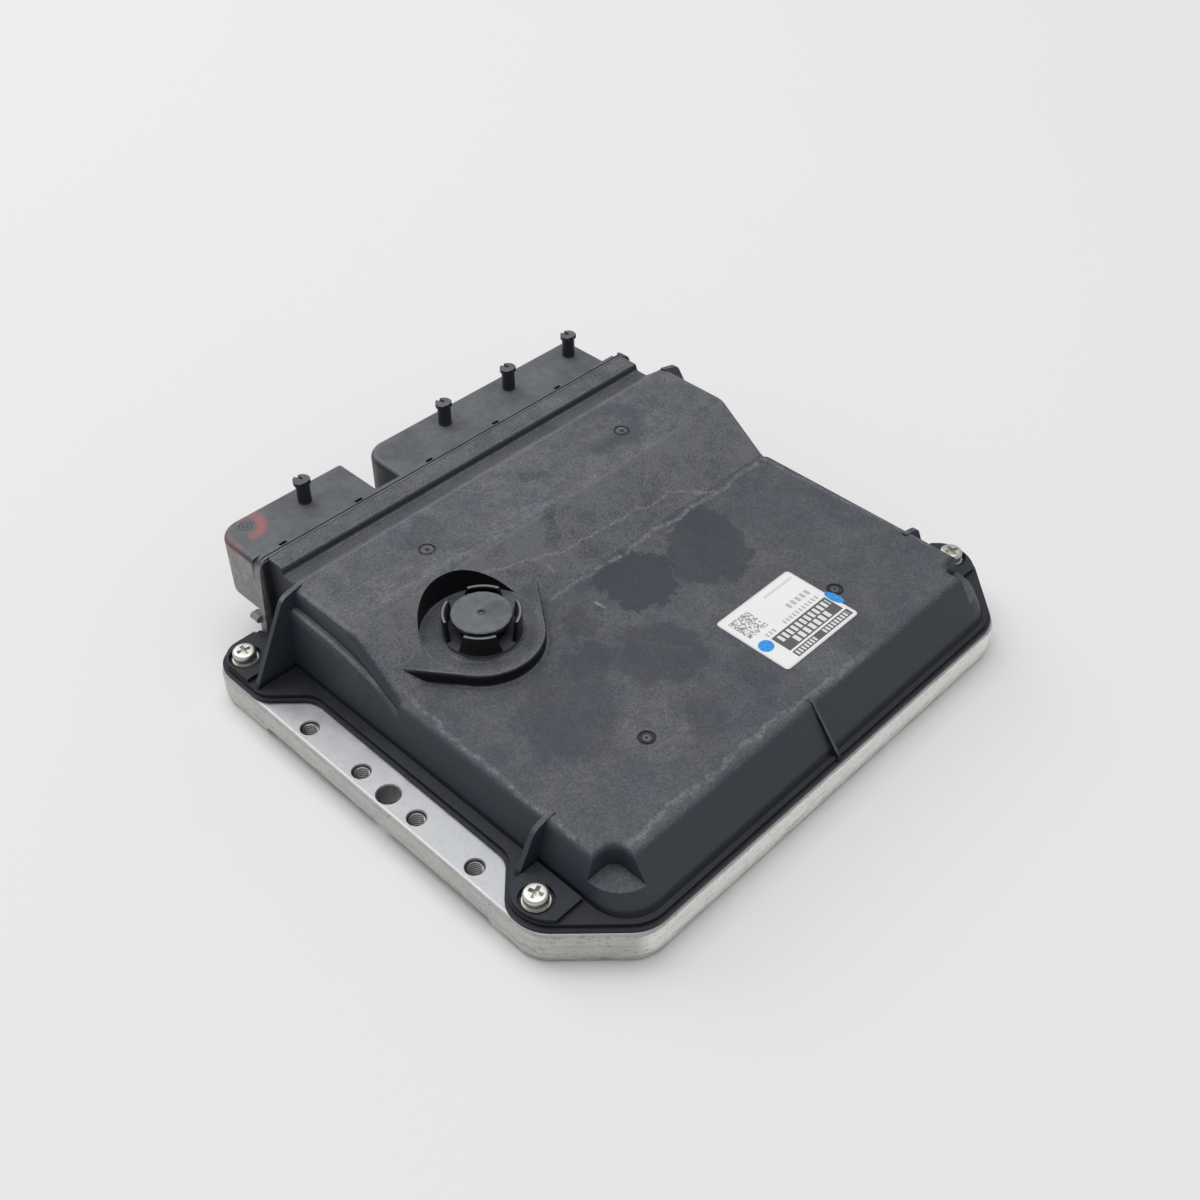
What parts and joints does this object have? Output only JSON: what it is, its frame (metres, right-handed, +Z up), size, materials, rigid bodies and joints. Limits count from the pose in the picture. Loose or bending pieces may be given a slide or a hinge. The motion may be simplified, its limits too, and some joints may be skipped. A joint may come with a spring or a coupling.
{
  "type": "engine control unit",
  "caption": "Engine control unit: metal tray with a side arm of fixing holes, stepped dark plastic cover with a vent plug and label, and a plug header with two shrouds along one edge",
  "frame": {"origin": "middle of the case seen from above, on the surface that the tray stands on", "axes": "X runs along the plug header, +Y points out of the plug bays, +Z is up from the tray to the cover"},
  "size_m": [0.228, 0.204, 0.055],
  "materials": {
    "cast_aluminium": "as cast, worn",
    "cover_plastic": "fine grain",
    "header_plastic": "smooth",
    "seal_rubber": "soft",
    "board_laminate": "lacquered",
    "zinc_steel": "zinc plated",
    "contact_metal": "tin plated",
    "vent_plastic": "gloss",
    "cap_plastic": "dusty",
    "label_film": "coated",
    "membrane_film": "matt",
    "package_plastic": "moulded",
    "can_metal": "drawn",
    "thermal_pad": "soft",
    "ceramic_chip": "fired"
  },
  "bodies": {
    "root": {"base_tray": "cast_aluminium", "cover": "cover_plastic", "plug_header": "header_plastic", "tray_seal": "seal_rubber", "header_seal": "seal_rubber", "circuit_board": "board_laminate", "cover_screws": "zinc_steel", "spring_washers": "zinc_steel", "flat_washers": "zinc_steel", "screw_sleeves": "zinc_steel", "board_screws": "zinc_steel", "pins_short_bay": "contact_metal", "pins_middle_bay": "contact_metal", "pins_end_bay": "contact_metal", "power_pins": "contact_metal", "label": "label_film", "vent_guard": "vent_plastic", "vent_cap": "cap_plastic", "vent_membrane": "membrane_film", "vent_clamp_ring": "vent_plastic", "vent_seal": "seal_rubber", "microcontroller": "package_plastic", "memory_chip": "package_plastic", "pressure_sensor": "package_plastic", "clock_crystal": "can_metal", "driver_chips": "package_plastic", "power_transistors": "package_plastic", "thermal_pads": "thermal_pad", "can_capacitors": "can_metal", "power_inductors": "package_plastic", "diodes": "package_plastic", "ceramic_capacitors": "ceramic_chip", "resistors": "package_plastic"}
  },
  "joints": []
}
